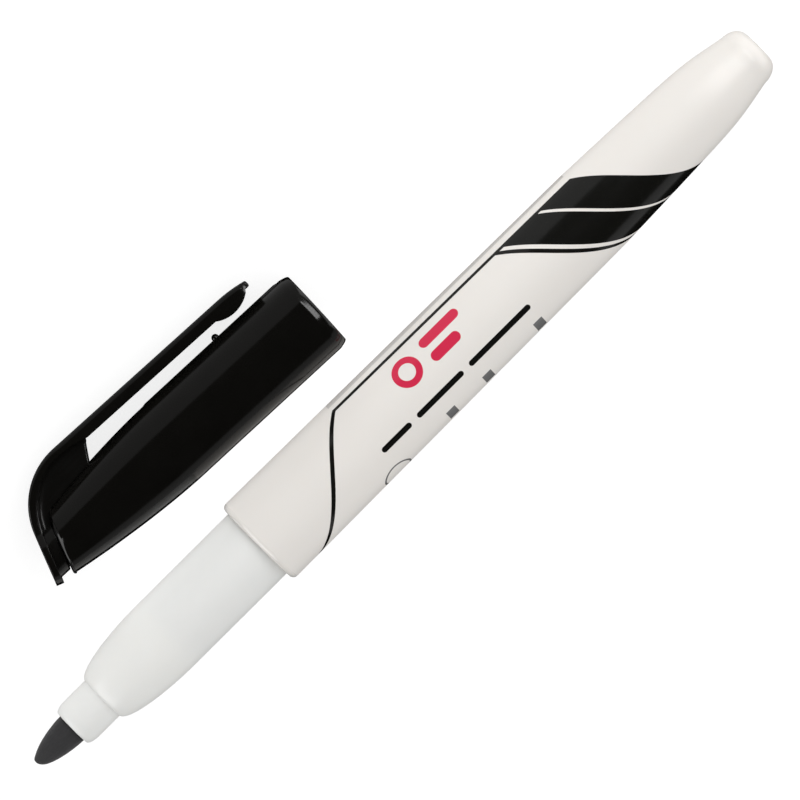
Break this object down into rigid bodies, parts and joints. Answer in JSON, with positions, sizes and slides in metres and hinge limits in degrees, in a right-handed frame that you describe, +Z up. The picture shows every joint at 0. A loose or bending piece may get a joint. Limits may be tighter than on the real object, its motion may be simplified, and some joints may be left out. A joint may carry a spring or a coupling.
{
  "type": "whiteboard marker",
  "caption": "Round dry-erase whiteboard marker with a bullet nib, lying uncapped beside its black push-on cap with a spring clip.",
  "frame": {"origin": "on the floor that the marker and its cap lie on, under the middle of the whole object's box", "axes": "+X along the marker from nib to tail, +Y from the marker towards the cap lying beside it, +Z up"},
  "size_m": [0.128, 0.0342, 0.0128],
  "materials": {
    "barrel_plastic": "satin warm white moulded plastic",
    "natural_plastic": "satin natural polypropylene, slightly translucent",
    "nib_felt": "matt ink-soaked fibre",
    "ink_fibre": "ink-soaked fibre",
    "film": "thin clear film",
    "cap_plastic": "glossy black moulded plastic",
    "liner_plastic": "soft natural sealing plastic"
  },
  "bodies": {
    "marker": {"barrel": "barrel_plastic", "front_section": "natural_plastic", "nib": "nib_felt", "ink_reservoir": "ink_fibre", "reservoir_wrap": "film"},
    "cap": {"cap_tube": "cap_plastic", "inner_cap": "liner_plastic", "clip_root": "cap_plastic"},
    "clip": {"clip_arm": "cap_plastic"}
  },
  "joints": [
    {"name": "cap_slide", "type": "slide", "parent": "marker", "child": "cap", "axis": [-1, 0, 0], "range_m": [0, 0.07]},
    {"name": "clip_flex", "type": "hinge", "parent": "cap", "child": "clip", "pos_m": [-0.03001, 0.0152, 0.00241], "axis": [0.0157, 0.3904, 0.9205], "range_deg": [-1.5, 6], "stiffness_Nm_per_rad": 0.16}
  ]
}
